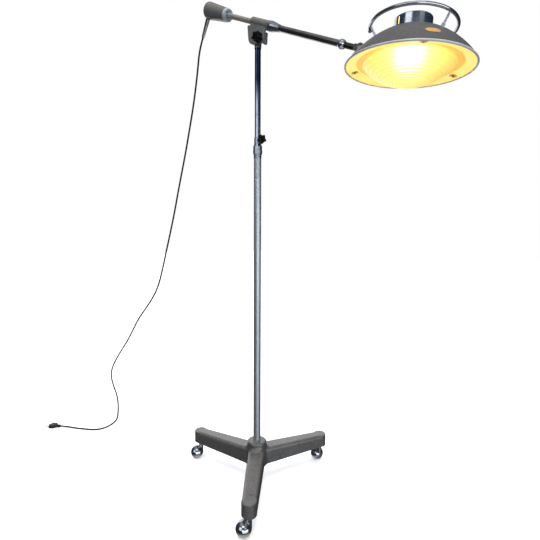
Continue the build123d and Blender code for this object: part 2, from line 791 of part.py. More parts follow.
end_fork = bar_x(end_rod_radius, front_tube_end, fork_block_start + 1)
fork_block = bar_y(fork_radius, -fork_half_width, fork_half_width, knuckle_along, 0)
fork_block += block(
    fork_block_start, knuckle_along, -fork_half_width, fork_half_width, -end_rod_radius, end_rod_radius)
end_fork += fork_block
fork_reach = knuckle_along + fork_radius + 1
slot_reach = fork_radius + 1
end_fork -= block(fork_slot_start, fork_reach, -fork_half_gap, fork_half_gap, -slot_reach, slot_reach)
pin_reach = fork_half_width + 1
end_fork -= bar_y(fork_pin_radius + fixed_gap, -pin_reach, pin_reach, knuckle_along, 0)
export(arm_frame * end_fork, "end_fork")

pin_tail_y = fork_half_width + fork_nut_height + 1.5
pin_head_y = -fork_half_width - fork_pin_head_height
fork_pin = bar_y(fork_pin_radius, -fork_half_width - 1, pin_tail_y, knuckle_along, 0)
pin_head = bar_y(fork_pin_head_radius, pin_head_y, -fork_half_width, knuckle_along, 0)
pin_head = fillet(pin_head.edges().sort_by(Axis.Y)[0], 1.2)
fork_pin += pin_head
fork_pin -= block(
    knuckle_along - fork_pin_head_radius, knuckle_along + fork_pin_head_radius,
    pin_head_y - 1, pin_head_y + 1.2, -0.6, 0.6)
export(arm_frame * fork_pin, "fork_pin")
fork_nut = extrude(RegularPolygon(fork_nut_flats / 2, 6, major_radius=False), fork_nut_height)
fork_nut -= bar_z(fork_pin_radius + fixed_gap, -1, fork_nut_height + 1)
fork_nut = Pos(knuckle_along, fork_half_width, 0) * Rot(-90, 0, 0) * fork_nut
export(arm_frame * fork_nut, "fork_nut")

# Head frame: rim plane centre, heights along the head's own axis
knuckle_spot = arm_point(knuckle_along, 0, 0)
knuckle_frame = Pos(knuckle_spot.X, 0, knuckle_spot.Z) * Rot(0, head_nod, 0)
head_frame = knuckle_frame * Pos(bracket_reach, 0, -bracket_rise)

# Shade outline: one arc through the rim, the belly and the top
dome_centre, dome_radius = circle_through(
    (rim_radius, 0), (dome_mid_radius, dome_mid_height), (dome_top_radius, dome_top_height))


def dome_height(radius, lift=0.0):
    """Height of the dome's outside, or of a face that far above it, at a radius."""
    reach = dome_radius + lift
    return dome_centre[1] + sqrt(reach * reach - (radius - dome_centre[0]) ** 2)


def dome_spot(radius, lift=0.0):
    """Point on the dome's outside, or that far above it, as an XZ place."""
    return (radius, 0, dome_height(radius, lift))


def dome_band(low_lift, high_lift, inner, outer):
    """Shell between two faces parallel to the dome, from one radius to another."""
    middle = (inner + outer) / 2
    edges = [
        ThreePointArc(dome_spot(inner, low_lift), dome_spot(middle, low_lift), dome_spot(outer, low_lift)),
        Line(dome_spot(outer, low_lift), dome_spot(outer, high_lift)),
        ThreePointArc(
            dome_spot(outer, high_lift), dome_spot(middle, high_lift), dome_spot(inner, high_lift)),
        Line(dome_spot(inner, high_lift), dome_spot(inner, low_lift)),
    ]
    return turned_edges(edges)


shade_outer_edge = dome_centre[0] + sqrt(dome_radius ** 2 - (shade_edge_height - dome_centre[1]) ** 2)
inner_reach = dome_radius - shade_wall
shade_inner_edge = dome_centre[0] + sqrt(inner_reach ** 2 - (shade_edge_height - dome_centre[1]) ** 2)
lip_low = dome_top_height - shade_wall
shade_lip_inner = dome_centre[0] + sqrt(inner_reach ** 2 - (lip_low - dome_centre[1]) ** 2)
shade = turned_edges([
    ThreePointArc(
        (shade_outer_edge, 0, shade_edge_height), dome_spot(dome_mid_radius),
        (dome_top_radius, 0, dome_top_height)),
    Line((dome_top_radius, 0, dome_top_height), (shade_opening_radius, 0, dome_top_height)),
    Line((shade_opening_radius, 0, dome_top_height), (shade_opening_radius, 0, lip_low)),
    Line((shade_opening_radius, 0, lip_low), (shade_lip_inner, 0, lip_low)),
    ThreePointArc(
        (shade_lip_inner, 0, lip_low), dome_spot(dome_mid_radius, -shade_wall),
        (shade_inner_edge, 0, shade_edge_height)),
    Line((shade_inner_edge, 0, shade_edge_height), (shade_outer_edge, 0, shade_edge_height)),
])

bead_chord = sqrt(rim_bead_radius ** 2 - (shade_edge_height - rim_bead_height) ** 2)
rim_ring = turned_edges([
    ThreePointArc(
        (rim_bead_centre + bead_chord, 0, shade_edge_height),
        (rim_bead_centre, 0, rim_bead_height - rim_bead_radius),
        (rim_bead_centre - bead_chord, 0, shade_edge_height)),
    Line(
        (rim_bead_centre - bead_chord, 0, shade_edge_height),
        (rim_bead_centre + bead_chord, 0, shade_edge_height)),
])
export(head_frame * rim_ring, "rim_ring")

# Lens ring: a shallow cone from the rim bead to the lens
bezel_slope = (bezel_inner_height - bezel_outer_height) / (bezel_outer_radius - bezel_inner_radius)
lens_ring = turned([
    (bezel_outer_radius, bezel_outer_height),
    (bezel_outer_radius, bezel_outer_height + bezel_thickness),
    (bezel_inner_radius, bezel_inner_height + bezel_thickness),
    (bezel_inner_radius, bezel_inner_height),
])

# Ribbed lens: the edge rests on the lens ring
lens_edge_low = bezel_inner_height + bezel_thickness
lens_edge_high = lens_edge_low + lens_edge_thickness
lens_neck_radius = bezel_inner_radius - lens_shoulder
lens_sag = lens_edge_low - lens_apex_height
lens_ball = (lens_neck_radius ** 2 + lens_sag ** 2) / (2 * lens_sag)
lens_ball_height = lens_apex_height + lens_ball


def lens_outside(radius):
    """Height of the lens's lower face before the ribs."""
    return lens_ball_height - sqrt(lens_ball ** 2 - radius ** 2)


def lens_inside(radius):
    """Height of the lens's smooth upper face."""
    reach = lens_ball - lens_thickness
    return lens_ball_height - sqrt(reach ** 2 - radius ** 2)


rib_pitch = lens_neck_radius / lens_rib_count
lens_edges = []
for rib in range(lens_rib_count):
    rib_start = rib * rib_pitch
    rib_end = (rib + 1) * rib_pitch
    rib_middle = (rib_start + rib_end) / 2
    lens_edges.append(ThreePointArc(
        (rib_start, 0, lens_outside(rib_start)),
        (rib_middle, 0, lens_outside(rib_middle) - lens_rib_depth),
        (rib_end, 0, lens_outside(rib_end))))
lens_bowl_radius = lens_neck_radius - 6.0
lens_edges.append(Line((lens_neck_radius, 0, lens_edge_low), (lens_edge_radius, 0, lens_edge_low)))
lens_edges.append(Line((lens_edge_radius, 0, lens_edge_low), (lens_edge_radius, 0, lens_edge_high)))
lens_edges.append(Line((lens_edge_radius, 0, lens_edge_high), (lens_bowl_radius, 0, lens_edge_high)))
lens_edges.append(Line(
    (lens_bowl_radius, 0, lens_edge_high), (lens_bowl_radius, 0, lens_inside(lens_bowl_radius))))
lens_edges.append(ThreePointArc(
    (lens_bowl_radius, 0, lens_inside(lens_bowl_radius)),
    (lens_bowl_radius / 2, 0, lens_inside(lens_bowl_radius / 2)),
    (0, 0, lens_inside(0))))
lens_edges.append(Line((0, 0, lens_inside(0)), (0, 0, lens_outside(0))))
lens = turned_edges(lens_edges)

# The lens ring's upper face is cut level where the lens rests on it
lens_ring -= bar_z(lens_edge_radius + fixed_gap, lens_edge_low, lens_edge_high + 5)
ring_slant = degrees(atan2(bezel_slope, 1.0))
clip_middle = (clip_inner_radius + clip_outer_radius) / 2
clip_height = bezel_outer_height + bezel_slope * (bezel_outer_radius - clip_middle) - 2 * fixed_gap
clip_frame = Pos(clip_middle, 0, clip_height) * Rot(0, ring_slant, 0)
clip = Pos(0, 0, -clip_thickness / 2) * Box(clip_length, clip_width, clip_thickness)
clip = fillet(clip.edges().filter_by(Axis.Z), 3.0)
clip_hole = bar_z(clip_screw_radius / 2 + fixed_gap, -clip_thickness - 1, bezel_thickness + 2)
clip -= clip_hole
clip_screw = bar_z(clip_screw_radius, -clip_thickness - clip_screw_height, -clip_thickness)
clip_screw = fillet(clip_screw.edges().sort_by(Axis.Z)[0], 0.6)
clip_screw += bar_z(clip_screw_radius / 2, -clip_thickness - 0.5, bezel_thickness + 0.5)
lens_clips = []
clip_screws = []
for angle in clip_angles:
    clip_place = Rot(0, 0, angle) * clip_frame
    lens_ring -= clip_place * clip_hole
    lens_clips.append(head_frame * clip_place * clip)
    clip_screws.append(head_frame * clip_place * clip_screw)
export(head_frame * lens_ring, "lens_ring")
export(head_frame * lens, "lens")
export(Compound(children=lens_clips), "lens_clips")
export(Compound(children=clip_screws), "clip_screws")

# Reflector: its flange rests on the lens edge
reflector_low = lens_edge_high
reflector_bowl_radius = reflector_edge_radius - reflector_flange_width
belly_radius = (reflector_bowl_radius + reflector_neck_radius) / 2 + reflector_belly
belly_height = (reflector_low + reflector_neck_height) / 2 + reflector_belly
reflector = turned_edges([
    ThreePointArc(
        (reflector_bowl_radius, 0, reflector_low),
        (belly_radius, 0, belly_height),
        (reflector_neck_radius, 0, reflector_neck_height)),
    Line(
        (reflector_neck_radius, 0, reflector_neck_height),
        (reflector_neck_radius, 0, reflector_neck_height + reflector_wall)),
    ThreePointArc(
        (reflector_neck_radius, 0, reflector_neck_height + reflector_wall),
        (belly_radius + 0.7 * reflector_wall, 0, belly_height + 0.7 * reflector_wall),
        (reflector_bowl_radius + reflector_wall, 0, reflector_low + reflector_wall)),
    Line(
        (reflector_bowl_radius + reflector_wall, 0, reflector_low + reflector_wall),
        (reflector_edge_radius, 0, reflector_low + reflector_wall)),
    Line(
        (reflector_edge_radius, 0, reflector_low + reflector_wall),
        (reflector_edge_radius, 0, reflector_low)),
    Line((reflector_edge_radius, 0, reflector_low), (reflector_bowl_radius, 0, reflector_low)),
])
export(head_frame * reflector, "reflector")

# Lampholder hung from the vent cap, and the bulb in it
cap_lid_low = cap_top_height - cap_wall
lampholder = bar_z(holder_radius, holder_bottom_height, holder_top_height)
lampholder = fillet(lampholder.edges().sort_by(Axis.Z)[-1], 3.0)
lampholder += bar_z(holder_stem_radius, holder_top_height - 1, cap_lid_low)
lampholder -= bar_z(holder_bore_radius, holder_bottom_height - 1, holder_bottom_height + holder_bore_depth)
export(head_frame * lampholder, "lampholder")

bulb_cap_top = holder_bottom_height + holder_bore_depth
neck_join = bulb_centre_height + 0.78 * bulb_radius


def bulb_outline(inset):
    """Bulb body drawn in from its outside by an inset."""
    ball = bulb_radius - inset
    join_radius = sqrt(ball ** 2 - (neck_join - bulb_centre_height) ** 2)
    cap = bulb_cap_radius - inset
    return turned_edges([
        ThreePointArc(
            (0, 0, bulb_centre_height - ball), (ball, 0, bulb_centre_height), (join_radius, 0, neck_join)),
        Line((join_radius, 0, neck_join), (cap, 0, bulb_neck_height)),
        Line((cap, 0, bulb_neck_height), (cap, 0, bulb_cap_top - inset)),
        Line((cap, 0, bulb_cap_top - inset), (0, 0, bulb_cap_top - inset)),
        Line((0, 0, bulb_cap_top - inset), (0, 0, bulb_centre_height - ball)),
    ])


bulb = bulb_outline(0.0) - bulb_outline(bulb_wall)
bulb -= bar_z(bulb_contact_hole, bulb_cap_top - bulb_wall - 1, bulb_cap_top + 1)
export(head_frame * bulb, "bulb")

# Vent cap with three upright slots
vent_cap = bar_z(cap_radius, dome_top_height, cap_top_height)
vent_cap = fillet(vent_cap.edges().sort_by(Axis.Z)[-1], cap_edge_round)
vent_cap -= bar_z(cap_radius - cap_wall, dome_top_height - 1, cap_lid_low)
for angle in cap_slot_angles:
    slot = block(
        cap_radius - 4, cap_radius + 2, -cap_slot_width / 2, cap_slot_width / 2, cap_slot_low, cap_slot_high)
    vent_cap -= Rot(0, 0, angle) * slot
export(head_frame * vent_cap, "vent_cap")

# Ring handle, open toward the arm, on three leaning posts
ring_turn = 360.0 - 2 * ring_gap_half_angle
ring_start = 180.0 + ring_gap_half_angle
ring_frame = Pos(0, 0, ring_height) * Rot(ring_roll, 0, 0)
ring_section = Plane.XZ * Pos(ring_radius, 0) * Circle(ring_tube_radius)
handle_ring = Rot(0, 0, ring_start) * revolve(ring_section, axis=Axis.Z, revolution_arc=ring_turn)
for side in (-1, 1):
    end_angle = radians(180.0 + side * ring_gap_half_angle)
    end_place = Pos(ring_radius * cos(end_angle), ring_radius * sin(end_angle), 0)
    handle_ring += end_place * Sphere(ring_ball_radius)
handle_ring = ring_frame * handle_ring
export(head_frame * handle_ring, "handle_ring")

ring_torus = ring_frame * Torus(ring_radius, ring_tube_radius)
post_foot_height = dome_height(post_foot_radius)
dome_body = turned_edges([
    ThreePointArc((rim_radius, 0, 0), dome_spot(dome_mid_radius), (dome_top_radius, 0, dome_top_height)),
    Line((dome_top_radius, 0, dome_top_height), (0, 0, dome_top_height)),
    Line((0, 0, dome_top_height), (0, 0, 0)),
    Line((0, 0, 0), (rim_radius, 0, 0)),
])
handle_posts = []
for angle in post_angles:
    turn = radians(angle)
    foot = (post_foot_radius * cos(turn), post_foot_radius * sin(turn), post_foot_height)
    top = (ring_frame * Pos(ring_radius * cos(turn), ring_radius * sin(turn), 0)).position
    lean = (top.X - foot[0], top.Y - foot[1], top.Z - foot[2])
    post_length = sqrt(lean[0] ** 2 + lean[1] ** 2 + lean[2] ** 2)
    post = bar_z(post_radius, -post_sink, post_length)
    post += bar_z(post_foot_collar_radius, -post_sink, post_foot_collar_height)
    post = Plane(origin=foot, z_dir=lean).location * post
    post -= ring_torus
    post -= dome_body
    handle_posts.append(head_frame * post)
export(Compound(children=handle_posts), "handle_posts")

# Head bracket: a tongue in the fork and a saddle on the dome, on the side toward the arm
knuckle_in_head = Pos(-bracket_reach, 0, bracket_rise)
tongue = bar_y(fork_radius, -tongue_half_width, tongue_half_width)
shank = block(0, tongue_length, -tongue_half_width, tongue_half_width, -tongue_height / 2, tongue_height / 2)
tongue += Rot(0, tongue_line_dip, 0) * shank
head_bracket = knuckle_in_head * tongue
saddle_normal = atan2(saddle_place - dome_centre[0], dome_height(saddle_place) - dome_centre[1])
saddle_spot = Rot(0, 0, 180) * Pos(saddle_place, 0, dome_height(saddle_place))
saddle_frame = saddle_spot * Rot(0, degrees(saddle_normal), 0)
saddle_core = saddle_frame * bar_z(saddle_radius, -12, 12)
saddle_reach = 1.75 * saddle_radius
saddle_band = dome_band(0.0, saddle_thickness, saddle_place - saddle_reach, saddle_place + saddle_reach)
head_bracket += saddle_band & saddle_core
head_bracket -= dome_body
head_bracket -= knuckle_in_head * bar_y(fork_pin_radius + running_gap, -pin_reach, pin_reach)
bracket_screws = []
screw_stem = saddle_thickness + shade_wall + 1.0
screw_stem_radius = 0.55 * bracket_screw_radius
for side in (-1, 1):
    screw_place = saddle_frame * Pos(0, side * bracket_screw_spread, saddle_thickness)
    screw_hole = screw_place * bar_z(screw_stem_radius + fixed_gap, -screw_stem - 2, 2)
    head_bracket -= screw_hole
    shade -= screw_hole
    screw = bar_z(bracket_screw_radius, 0.1, bracket_screw_height)
    screw = fillet(screw.edges().sort_by(Axis.Z)[-1], 1.0)
    screw += bar_z(screw_stem_radius, -screw_stem, 0.5)
    bracket_screws.append(head_frame * screw_place * screw)
export(head_frame * head_bracket, "head_bracket")
export(head_frame * shade, "shade")
export(Compound(children=bracket_screws), "bracket_screws")

# Plain oval plate on the shade
badge_normal = atan2(badge_place - dome_centre[0], dome_height(badge_place) - dome_centre[1])
badge_frame = Rot(0, 0, badge_angle) * Pos(badge_place, 0, dome_height(badge_place)) * Rot(
    0, degrees(badge_normal), 0)
badge_prism = extrude(Ellipse(badge_half_height, badge_half_length), 10, both=True)
badge_reach = 2 * badge_half_height
badge_band = dome_band(fixed_gap, badge_thickness, badge_place - badge_reach, badge_place + badge_reach)
badge_plate = badge_band & (badge_frame * badge_prism)
export(head_frame * badge_plate, "badge_plate")

# Strain relief under the counterweight
relief_tip_w = relief_root_w - relief_length
strain_relief = turned([
    (0, relief_tip_w),
    (relief_tip_radius, relief_tip_w),
    (relief_root_radius, relief_root_w),
    (relief_stub_radius, relief_root_w),
    (relief_stub_radius, relief_root_w + relief_stub_length),
    (0, relief_root_w + relief_stub_length),
])
export(arm_frame * Pos(relief_along, 0, 0) * strain_relief, "strain_relief")

# Mains cord: straight runs joined by tangent arcs, hanging in the arm's plane and ending on the floor
cord_start = arm_point(relief_along, 0, relief_tip_w)
cord_second = arm_point(relief_along, 0, relief_tip_w - cord_first_run)
floor_z = cord_radius + floor_lift
plug_z = plug_height / 2 + floor_lift
hang = arm_height / lay_arm_height
cord_route = [
    (cord_start.X, 0, cord_start.Z),
    (cord_second.X, 0, cord_second.Z),
    (-287, -1, 1482 * hang),
    (-299, -1, 1420 * hang),
    (-315, -1, 1350 * hang),
    (-335, -2, 1276 * hang),
    (-358, -1, 1201 * hang),
    (-382, -2, 1124 * hang),
    (-408, -2, 1046 * hang),
    (-431, -3, 967 * hang),
    (-459, -3, 887 * hang),
    (-488, -4, 806 * hang),
    (-518, -3, 726 * hang),
    (-548, -4, 650 * hang),
    (-594, -5, 589 * hang),
    (-648, -5, 537 * hang),
    (-702, -6, 484 * hang),
    (-745, -6, 429 * hang),
    (-790, -7, 371 * hang),
    (-843, -7, 317 * hang),
    (-896, -8, 258 * hang),
    (-936, -9, 204 * hang),
    (-946, -8, 156 * hang),
    (-925, -8, 115 * hang),
    (-894, -9, 78 * hang),
    (-870, -18, 40 * hang),
    (-840, -38, 13 * hang),
    (-802, -66, floor_z),
    (-776, -106, floor_z),
    (-769, -150, floor_z),
    (-787, -182, floor_z),
    (-825, -204, floor_z),
    (-866, -226, floor_z),
    (-904, -247, plug_z),
    (-936, -266, plug_z),
]


def span(first, second):
    """Vector from one route point to the next."""
    return [b - a for a, b in zip(first, second)]


def length_of(vector):
    """Length of a vector."""
    return sqrt(sum(v * v for v in vector))


bend_radii = []
sharpest_turn = 0.0
longest_run = 0.0
run_ratio = 0.0
for before, corner, after in zip(cord_route, cord_route[1:], cord_route[2:]):
    run_in, run_out = span(before, corner), span(corner, after)
    cosine = sum(a * b for a, b in zip(run_in, run_out)) / (length_of(run_in) * length_of(run_out))
    turn = acos(max(-1.0, min(1.0, cosine)))
    shorter = min(length_of(run_in), length_of(run_out))
    longer = max(length_of(run_in), length_of(run_out))
    bend_radii.append(0.45 * shorter / tan(turn / 2))
    sharpest_turn = max(sharpest_turn, degrees(turn))
    longest_run = max(longest_run, longer)
    run_ratio = max(run_ratio, longer / shorter)
cord_path = FilletPolyline(*cord_route, radius=bend_radii)
cord_heading = span(cord_route[0], cord_route[1])
cord_plane = Plane(origin=cord_route[0], z_dir=cord_heading)
mains_cord = sweep(cord_plane * Circle(cord_radius), path=cord_path)
export(mains_cord, "mains_cord")
cord_volume = pi * cord_radius ** 2 * cord_path.length
print("cord radii", [round(r) for r in bend_radii])
print("cord turn", round(sharpest_turn, 1), "run", round(longest_run, 1), "ratio", round(run_ratio, 2))
print("cord length", round(cord_path.length), "volume share", round(mains_cord.volume / cord_volume, 4))

# Plug: a flat two-pin body lying on the floor
tail_heading = span(cord_route[-2], cord_route[-1])
plug_turn = degrees(atan2(tail_heading[1], tail_heading[0]))
plug_frame = Pos(*cord_route[-1]) * Rot(0, 0, plug_turn)


def plug_section(place, width, height):
    """Rounded section across the plug."""
    section_plane = Plane(origin=(place, 0, 0), x_dir=(0, 1, 0), z_dir=(1, 0, 0))
    return section_plane * RectangleRounded(width, height, 0.4 * height)


plug_body = loft([
    plug_section(0, plug_tail_width, plug_tail_height),
    plug_section(plug_tail_length, plug_tail_width, plug_tail_height),
])
plug_body += loft([
    plug_section(plug_tail_length, plug_tail_width, plug_tail_height),
    plug_section(0.55 * plug_length, plug_width, plug_height),
])
plug_body += loft([
    plug_section(0.55 * plug_length, plug_width, plug_height),
    plug_section(plug_length, plug_width, plug_height),
])
plug_pins = []
for side in (-1, 1):
    pin_y = side * plug_pin_spacing / 2
    plug_body -= bar_x(plug_pin_root_radius + fixed_gap, plug_length - plug_pin_root, plug_length + 1, pin_y)
    pin = bar_x(plug_pin_radius, plug_length, plug_length + plug_pin_length, pin_y)
    pin = chamfer(pin.edges().sort_by(Axis.X)[-1], plug_pin_chamfer)
    pin += bar_x(plug_pin_root_radius, plug_length - plug_pin_root, plug_length + 1, pin_y)
    plug_pins.append(plug_frame * pin)
    pin_middle = plug_length + (plug_pin_length - plug_pin_chamfer) / 2
    spot = (plug_frame * Pos(pin_middle, pin_y, 0)).position
    print("plug pin", [round(v, 3) for v in spot], "turn", round(plug_turn, 3))
export(plug_frame * plug_body, "plug_body")
export(Compound(children=plug_pins), "plug_pins")

print("tilt knob", [round(v, 3) for v in arm_point(tilt_knob_along, knob_face_y, tilt_knob_w)])
print("pivot", round(pivot_x, 3), round(pivot_z, 3))
print("knuckle", round(knuckle_spot.X, 3), round(knuckle_spot.Z, 3))
head_spot = head_frame.position
print("head", [round(v, 3) for v in head_spot])
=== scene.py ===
"""Examination floor lamp: materials, mains lead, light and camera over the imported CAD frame, in metres."""
from math import cos, pi, radians, sin

import bpy
import bmesh
from mathutils import Matrix, Vector


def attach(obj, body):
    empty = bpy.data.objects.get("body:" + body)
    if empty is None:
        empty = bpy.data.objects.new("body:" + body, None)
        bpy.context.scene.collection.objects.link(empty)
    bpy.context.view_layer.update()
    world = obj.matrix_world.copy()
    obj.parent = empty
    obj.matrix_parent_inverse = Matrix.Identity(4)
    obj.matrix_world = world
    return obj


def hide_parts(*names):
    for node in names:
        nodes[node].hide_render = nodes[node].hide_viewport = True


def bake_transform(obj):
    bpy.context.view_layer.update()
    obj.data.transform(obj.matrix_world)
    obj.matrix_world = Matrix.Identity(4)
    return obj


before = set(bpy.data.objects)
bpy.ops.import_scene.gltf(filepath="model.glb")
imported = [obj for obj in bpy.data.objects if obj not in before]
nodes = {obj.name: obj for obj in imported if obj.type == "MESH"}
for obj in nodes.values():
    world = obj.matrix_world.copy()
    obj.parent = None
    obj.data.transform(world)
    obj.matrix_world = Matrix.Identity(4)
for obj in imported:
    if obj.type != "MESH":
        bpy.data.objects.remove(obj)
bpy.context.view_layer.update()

# Camera, at the photograph's viewpoint
CAMERA_PLACE = Vector((0.8601, -1.0250, 0.8720))
CAMERA_AIM = Vector((-0.6152, 0.7832, -0.0898))
CAMERA_LENS = 26.27
CAMERA_SENSOR = 36.0
CAMERA_ROLL = 0.00524
CAMERA_NEAR = 0.01

# Head frame: rim plane centre and the head's forward nod
HEAD_CENTRE = Vector((0.493942, 0.0, 1.292044))
HEAD_NOD = radians(4.5)
LENS_RADIUS = 0.130
DOME_RADIUS = 0.117
RIB_PITCH = 0.009

# Mast and strain relief, where their painted shading changes along them: the painted dark reflection up the
# mast, the painted shade on one side of the strain relief
MAST_DARK_FROM = 1.30
MAST_DARK_FULL = 1.38
RELIEF_SHADE_SIDE = Vector((-0.629, -0.615, 0.311))
RELIEF_SHADE_EDGE = (0.6545, 0.6560)

# Vent slots of the cap, in the head frame
SLOT_ANGLES = (radians(243.0), radians(3.0), radians(123.0))
SLOT_INNER = 0.0440
SLOT_OUTER = 0.0446
SLOT_HALF_WIDTH = 0.0035
SLOT_LOW = 0.0885
SLOT_HIGH = 0.1090
SLOT_STEPS = 6

# Mains lead
CORD_DIAMETER = 0.0065
CORD_SIDES = 16
CORD_RESOLUTION = 10
CORD_ORDER = 3
CORD_ROUTE = (
    (-0.259583, 0.0, 1.580989), (-0.279078, 0.0, 1.541544), (-0.287, -0.001, 1.482), (-0.299, -0.001, 1.420),
    (-0.315, -0.001, 1.350), (-0.335, -0.002, 1.276), (-0.358, -0.001, 1.201), (-0.382, -0.002, 1.124),
    (-0.408, -0.002, 1.046), (-0.431, -0.003, 0.967), (-0.459, -0.003, 0.887), (-0.488, -0.004, 0.806),
    (-0.518, -0.003, 0.726), (-0.548, -0.004, 0.650), (-0.594, -0.005, 0.589), (-0.648, -0.005, 0.537),
    (-0.702, -0.006, 0.484), (-0.745, -0.006, 0.429), (-0.790, -0.007, 0.371), (-0.843, -0.007, 0.317),
    (-0.896, -0.008, 0.258), (-0.936, -0.009, 0.204), (-0.946, -0.008, 0.156), (-0.925, -0.008, 0.115),
    (-0.894, -0.009, 0.078), (-0.870, -0.018, 0.040), (-0.840, -0.038, 0.013), (-0.802, -0.066, 0.00335),
    (-0.776, -0.106, 0.00335), (-0.769, -0.150, 0.00335), (-0.787, -0.182, 0.00335),
    (-0.825, -0.204, 0.00335), (-0.866, -0.226, 0.00335), (-0.904, -0.247, 0.0071), (-0.936, -0.266, 0.0071),
)

# Surface detail: depths of relief, in metres, and what several finishes share
RELIEF_COARSE = 0.0004
RELIEF_MIDDLE = 0.0003
RELIEF_FINE = 0.0002
WEAR_COLOUR = (0.12, 0.115, 0.11)
COAT_WEIGHT = 0.50
COAT_ROUGHNESS = 0.25
CLOUD_SCALE = 34.0
CLOUD_LOW = 0.32
CLOUD_HIGH = 0.60
GRAIN_SCALE = 160.0
SPECK_DARKENING = 0.45
GLASS_IOR = 1.45
GLASS_ROUGHNESS = 0.42
GLASS_TRANSMISSION = 0.9
RING_GLOW = 0.80
BOWL_GLOW = 2.7
CLIP_GLOW = 0.55
SLOT_GLOW = 5.0
BULB_GLOW = 120.0


def new_material(name):
    """An empty node material and its shader."""
    material = bpy.data.materials.new(name)
    material.use_nodes = True
    tree = material.node_tree
    shader = tree.nodes["Principled BSDF"]
    return material, tree, shader


def add(tree, kind, **values):
    """A shader node with some of its properties set."""
    node = tree.nodes.new(kind)
    for key, value in values.items():
        setattr(node, key, value)
    return node


def place_coordinates(tree):
    """Coordinates fixed to the object, in metres."""
    return add(tree, "ShaderNodeTexCoord").outputs["Object"]


def noise(tree, coordinates, scale, detail=4.0, roughness=0.5):
    """Noise value over the object."""
    node = add(tree, "ShaderNodeTexNoise")
    node.inputs["Scale"].default_value = scale
    node.inputs["Detail"].default_value = detail
    node.inputs["Roughness"].default_value = roughness
    tree.links.new(coordinates, node.inputs["Vector"])
    return node.outputs["Fac"]


def ramp(tree, value, stops):
    """Colour ramp from (position, colour) stops."""
    node = add(tree, "ShaderNodeValToRGB")
    tree.links.new(value, node.inputs["Fac"])
    elements = node.color_ramp.elements
    while len(elements) < len(stops):
        elements.new(0.5)
    for element, (position, colour) in zip(elements, stops):
        element.position = position
        element.color = (*colour, 1.0)
    return node.outputs["Color"]


def grey_ramp(tree, value, stops):
    """Ramp whose stops are plain numbers."""
    return ramp(tree, value, [(position, (level, level, level)) for position, level in stops])


def mix_colours(tree, share, first, second, blend="MIX"):
    """Mix of two colours by a share."""
    node = add(tree, "ShaderNodeMix", data_type="RGBA", blend_type=blend)
    if isinstance(share, float):
        node.inputs["Factor"].default_value = share
    else:
        tree.links.new(share, node.inputs["Factor"])
    for socket, colour in ((node.inputs[6], first), (node.inputs[7], second)):
        if isinstance(colour, tuple):
            socket.default_value = (*colour, 1.0)
        else:
            tree.links.new(colour, socket)
    return node.outputs[2]


def math(tree, operation, first, second=None):
    """Number from one or two numbers."""
    node = add(tree, "ShaderNodeMath", operation=operation)
    for socket, value in ((node.inputs[0], first), (node.inputs[1], second)):
        if value is None:
            continue
        if isinstance(value, (int, float)):
            socket.default_value = value
        else:
            tree.links.new(value, socket)
    return node.outputs[0]


def fade(tree, value, low, high):
    """Smooth share from 0 at low to 1 at high."""
    node = add(tree, "ShaderNodeMapRange", interpolation_type="SMOOTHSTEP")
    node.inputs["From Min"].default_value = low
    node.inputs["From Max"].default_value = high
    tree.links.new(value, node.inputs["Value"])
    return node.outputs["Result"]


def bump(tree, shader, height, strength, distance):
    """Surface relief from a height."""
    node = add(tree, "ShaderNodeBump")
    node.inputs["Strength"].default_value = strength
    node.inputs["Distance"].default_value = distance
    tree.links.new(height, node.inputs["Height"])
    tree.links.new(node.outputs["Normal"], shader.inputs["Normal"])


def hammertone(name, dark, light, cell=0.0030, roughness=0.30, metallic=0.2):
    """Dimpled hammertone enamel: pale cells, darker lines between them, a little wear."""
    material, tree, shader = new_material(name)
    place = place_coordinates(tree)
    cells = add(tree, "ShaderNodeTexVoronoi", feature="SMOOTH_F1")
    cells.inputs["Scale"].default_value = 1.0 / cell
    cells.inputs["Smoothness"].default_value = 0.5
    cells.inputs["Randomness"].default_value = 1.0
    tree.links.new(place, cells.inputs["Vector"])
    colour = ramp(tree, cells.outputs["Distance"], [(0.10, light), (0.70, dark)])
    broad = grey_ramp(tree, noise(tree, place, 12.0), [(0.3, 0.90), (0.7, 1.06)])
    colour = mix_colours(tree, 1.0, colour, broad, "MULTIPLY")
    flecks = grey_ramp(tree, noise(tree, place, 210.0, 3.0, 0.6), [(0.35, 0.88), (0.65, 1.10)])
    colour = mix_colours(tree, 1.0, colour, flecks, "MULTIPLY")
    chips = grey_ramp(tree, noise(tree, place, 60.0, 6.0, 0.62), [(0.86, 0.0), (0.92, 0.25)])
    colour = mix_colours(tree, chips, colour, WEAR_COLOUR)
    tree.links.new(colour, shader.inputs["Base Color"])
    gloss = grey_ramp(tree, noise(tree, place, 24.0), [(0.3, roughness - 0.03), (0.7, roughness + 0.05)])
    tree.links.new(gloss, shader.inputs["Roughness"])
    shader.inputs["Metallic"].default_value = metallic
    shader.inputs["Coat Weight"].default_value = COAT_WEIGHT
    shader.inputs["Coat Roughness"].default_value = COAT_ROUGHNESS
    bump(tree, shader, cells.outputs["Distance"], 0.40, RELIEF_COARSE)
    return material


def polish_marks(tree, shader, place):
    """Faint marks of polishing."""
    bump(tree, shader, noise(tree, place, 420.0, 2.0), 0.04, RELIEF_FINE)


